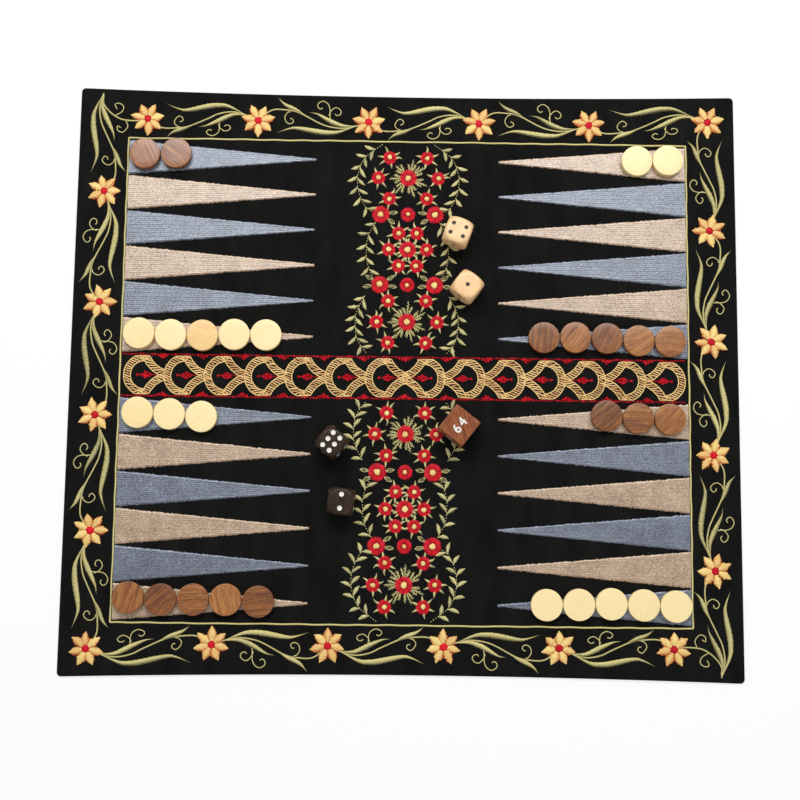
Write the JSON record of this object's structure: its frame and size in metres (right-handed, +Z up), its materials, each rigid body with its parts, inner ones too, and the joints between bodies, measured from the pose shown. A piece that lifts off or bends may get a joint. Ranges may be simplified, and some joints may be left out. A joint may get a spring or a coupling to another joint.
{
  "type": "backgammon board",
  "caption": "Soft black cloth backgammon mat with embroidered points, scale band and flower border, laid out with loose wooden men, dice and a doubling cube.",
  "frame": {"origin": "middle of the mat's underside, on the table", "axes": "+X along the long sides, to the right of a player who sits at -Y and reads the mat as the picture shows it; +Y across the mat, away from that player; +Z up"},
  "size_m": [0.4052, 0.3586, 0.021],
  "materials": {
    "black_cloth": "matt black plain weave",
    "felt": "grey felt interlining",
    "olive_thread": "satin stitch, soft sheen",
    "blue_thread": "fill stitch, soft sheen",
    "beige_thread": "fill stitch, soft sheen",
    "gold_thread": "satin stitch, soft sheen",
    "red_thread": "satin stitch, soft sheen",
    "light_wood": "pale wood, smooth, unvarnished",
    "dark_wood": "brown wood, smooth, unvarnished",
    "dark_die_wood": "very dark wood, smooth",
    "cube_wood": "reddish brown wood, smooth"
  },
  "bodies": {
    "mat": {"backing_cloth": "black_cloth", "interlining": "felt", "face_cloth": "black_cloth", "frame_line": "olive_thread", "upper_left_blue_points": "blue_thread", "lower_left_blue_points": "blue_thread", "upper_right_blue_points": "blue_thread", "lower_right_blue_points": "blue_thread", "upper_left_beige_points": "beige_thread", "lower_left_beige_points": "beige_thread", "upper_right_beige_points": "beige_thread", "lower_right_beige_points": "beige_thread", "scale_band": "gold_thread", "upper_band_edging": "red_thread", "lower_band_edging": "red_thread", "border_vine": "gold_thread"},
    "light_man_01": {"light_man_01": "light_wood"},
    "light_man_02": {"light_man_02": "light_wood"},
    "light_man_03": {"light_man_03": "light_wood"},
    "light_man_04": {"light_man_04": "light_wood"},
    "light_man_05": {"light_man_05": "light_wood"},
    "light_man_06": {"light_man_06": "light_wood"},
    "light_man_07": {"light_man_07": "light_wood"},
    "light_man_08": {"light_man_08": "light_wood"},
    "light_man_09": {"light_man_09": "light_wood"},
    "light_man_10": {"light_man_10": "light_wood"},
    "light_man_11": {"light_man_11": "light_wood"},
    "light_man_12": {"light_man_12": "light_wood"},
    "light_man_13": {"light_man_13": "light_wood"},
    "light_man_14": {"light_man_14": "light_wood"},
    "light_man_15": {"light_man_15": "light_wood"},
    "dark_man_01": {"dark_man_01": "dark_wood"},
    "dark_man_02": {"dark_man_02": "dark_wood"},
    "dark_man_03": {"dark_man_03": "dark_wood"},
    "dark_man_04": {"dark_man_04": "dark_wood"},
    "dark_man_05": {"dark_man_05": "dark_wood"},
    "dark_man_06": {"dark_man_06": "dark_wood"},
    "dark_man_07": {"dark_man_07": "dark_wood"},
    "dark_man_08": {"dark_man_08": "dark_wood"},
    "dark_man_09": {"dark_man_09": "dark_wood"},
    "dark_man_10": {"dark_man_10": "dark_wood"},
    "dark_man_11": {"dark_man_11": "dark_wood"},
    "dark_man_12": {"dark_man_12": "dark_wood"},
    "dark_man_13": {"dark_man_13": "dark_wood"},
    "dark_man_14": {"dark_man_14": "dark_wood"},
    "dark_man_15": {"dark_man_15": "dark_wood"},
    "light_die_1": {"light_die_1": "light_wood"},
    "light_die_2": {"light_die_2": "light_wood"},
    "dark_die_1": {"dark_die_1": "dark_die_wood"},
    "dark_die_2": {"dark_die_2": "dark_die_wood"},
    "doubling_cube": {"doubling_cube": "cube_wood"}
  },
  "joints": [
    {"name": "lift_light_man_01", "type": "slide", "parent": "mat", "child": "light_man_01", "axis": [0, 0, 1], "range_m": [0, 0.06]},
    {"name": "lift_light_man_02", "type": "slide", "parent": "mat", "child": "light_man_02", "axis": [0, 0, 1], "range_m": [0, 0.06]},
    {"name": "lift_light_man_03", "type": "slide", "parent": "mat", "child": "light_man_03", "axis": [0, 0, 1], "range_m": [0, 0.06]},
    {"name": "lift_light_man_04", "type": "slide", "parent": "mat", "child": "light_man_04", "axis": [0, 0, 1], "range_m": [0, 0.06]},
    {"name": "lift_light_man_05", "type": "slide", "parent": "mat", "child": "light_man_05", "axis": [0, 0, 1], "range_m": [0, 0.06]},
    {"name": "lift_light_man_06", "type": "slide", "parent": "mat", "child": "light_man_06", "axis": [0, 0, 1], "range_m": [0, 0.06]},
    {"name": "lift_light_man_07", "type": "slide", "parent": "mat", "child": "light_man_07", "axis": [0, 0, 1], "range_m": [0, 0.06]},
    {"name": "lift_light_man_08", "type": "slide", "parent": "mat", "child": "light_man_08", "axis": [0, 0, 1], "range_m": [0, 0.06]},
    {"name": "lift_light_man_09", "type": "slide", "parent": "mat", "child": "light_man_09", "axis": [0, 0, 1], "range_m": [0, 0.06]},
    {"name": "lift_light_man_10", "type": "slide", "parent": "mat", "child": "light_man_10", "axis": [0, 0, 1], "range_m": [0, 0.06]},
    {"name": "lift_light_man_11", "type": "slide", "parent": "mat", "child": "light_man_11", "axis": [0, 0, 1], "range_m": [0, 0.06]},
    {"name": "lift_light_man_12", "type": "slide", "parent": "mat", "child": "light_man_12", "axis": [0, 0, 1], "range_m": [0, 0.06]},
    {"name": "lift_light_man_13", "type": "slide", "parent": "mat", "child": "light_man_13", "axis": [0, 0, 1], "range_m": [0, 0.06]},
    {"name": "lift_light_man_14", "type": "slide", "parent": "mat", "child": "light_man_14", "axis": [0, 0, 1], "range_m": [0, 0.06]},
    {"name": "lift_light_man_15", "type": "slide", "parent": "mat", "child": "light_man_15", "axis": [0, 0, 1], "range_m": [0, 0.06]},
    {"name": "lift_dark_man_01", "type": "slide", "parent": "mat", "child": "dark_man_01", "axis": [0, 0, 1], "range_m": [0, 0.06]},
    {"name": "lift_dark_man_02", "type": "slide", "parent": "mat", "child": "dark_man_02", "axis": [0, 0, 1], "range_m": [0, 0.06]},
    {"name": "lift_dark_man_03", "type": "slide", "parent": "mat", "child": "dark_man_03", "axis": [0, 0, 1], "range_m": [0, 0.06]},
    {"name": "lift_dark_man_04", "type": "slide", "parent": "mat", "child": "dark_man_04", "axis": [0, 0, 1], "range_m": [0, 0.06]},
    {"name": "lift_dark_man_05", "type": "slide", "parent": "mat", "child": "dark_man_05", "axis": [0, 0, 1], "range_m": [0, 0.06]},
    {"name": "lift_dark_man_06", "type": "slide", "parent": "mat", "child": "dark_man_06", "axis": [0, 0, 1], "range_m": [0, 0.06]},
    {"name": "lift_dark_man_07", "type": "slide", "parent": "mat", "child": "dark_man_07", "axis": [0, 0, 1], "range_m": [0, 0.06]},
    {"name": "lift_dark_man_08", "type": "slide", "parent": "mat", "child": "dark_man_08", "axis": [0, 0, 1], "range_m": [0, 0.06]},
    {"name": "lift_dark_man_09", "type": "slide", "parent": "mat", "child": "dark_man_09", "axis": [0, 0, 1], "range_m": [0, 0.06]},
    {"name": "lift_dark_man_10", "type": "slide", "parent": "mat", "child": "dark_man_10", "axis": [0, 0, 1], "range_m": [0, 0.06]},
    {"name": "lift_dark_man_11", "type": "slide", "parent": "mat", "child": "dark_man_11", "axis": [0, 0, 1], "range_m": [0, 0.06]},
    {"name": "lift_dark_man_12", "type": "slide", "parent": "mat", "child": "dark_man_12", "axis": [0, 0, 1], "range_m": [0, 0.06]},
    {"name": "lift_dark_man_13", "type": "slide", "parent": "mat", "child": "dark_man_13", "axis": [0, 0, 1], "range_m": [0, 0.06]},
    {"name": "lift_dark_man_14", "type": "slide", "parent": "mat", "child": "dark_man_14", "axis": [0, 0, 1], "range_m": [0, 0.06]},
    {"name": "lift_dark_man_15", "type": "slide", "parent": "mat", "child": "dark_man_15", "axis": [0, 0, 1], "range_m": [0, 0.06]},
    {"name": "lift_light_die_1", "type": "slide", "parent": "mat", "child": "light_die_1", "axis": [0, 0, 1], "range_m": [0, 0.06]},
    {"name": "lift_light_die_2", "type": "slide", "parent": "mat", "child": "light_die_2", "axis": [0, 0, 1], "range_m": [0, 0.06]},
    {"name": "lift_dark_die_1", "type": "slide", "parent": "mat", "child": "dark_die_1", "axis": [0, 0, 1], "range_m": [0, 0.06]},
    {"name": "lift_dark_die_2", "type": "slide", "parent": "mat", "child": "dark_die_2", "axis": [0, 0, 1], "range_m": [0, 0.06]},
    {"name": "lift_doubling_cube", "type": "slide", "parent": "mat", "child": "doubling_cube", "axis": [0, 0, 1], "range_m": [0, 0.06]}
  ]
}
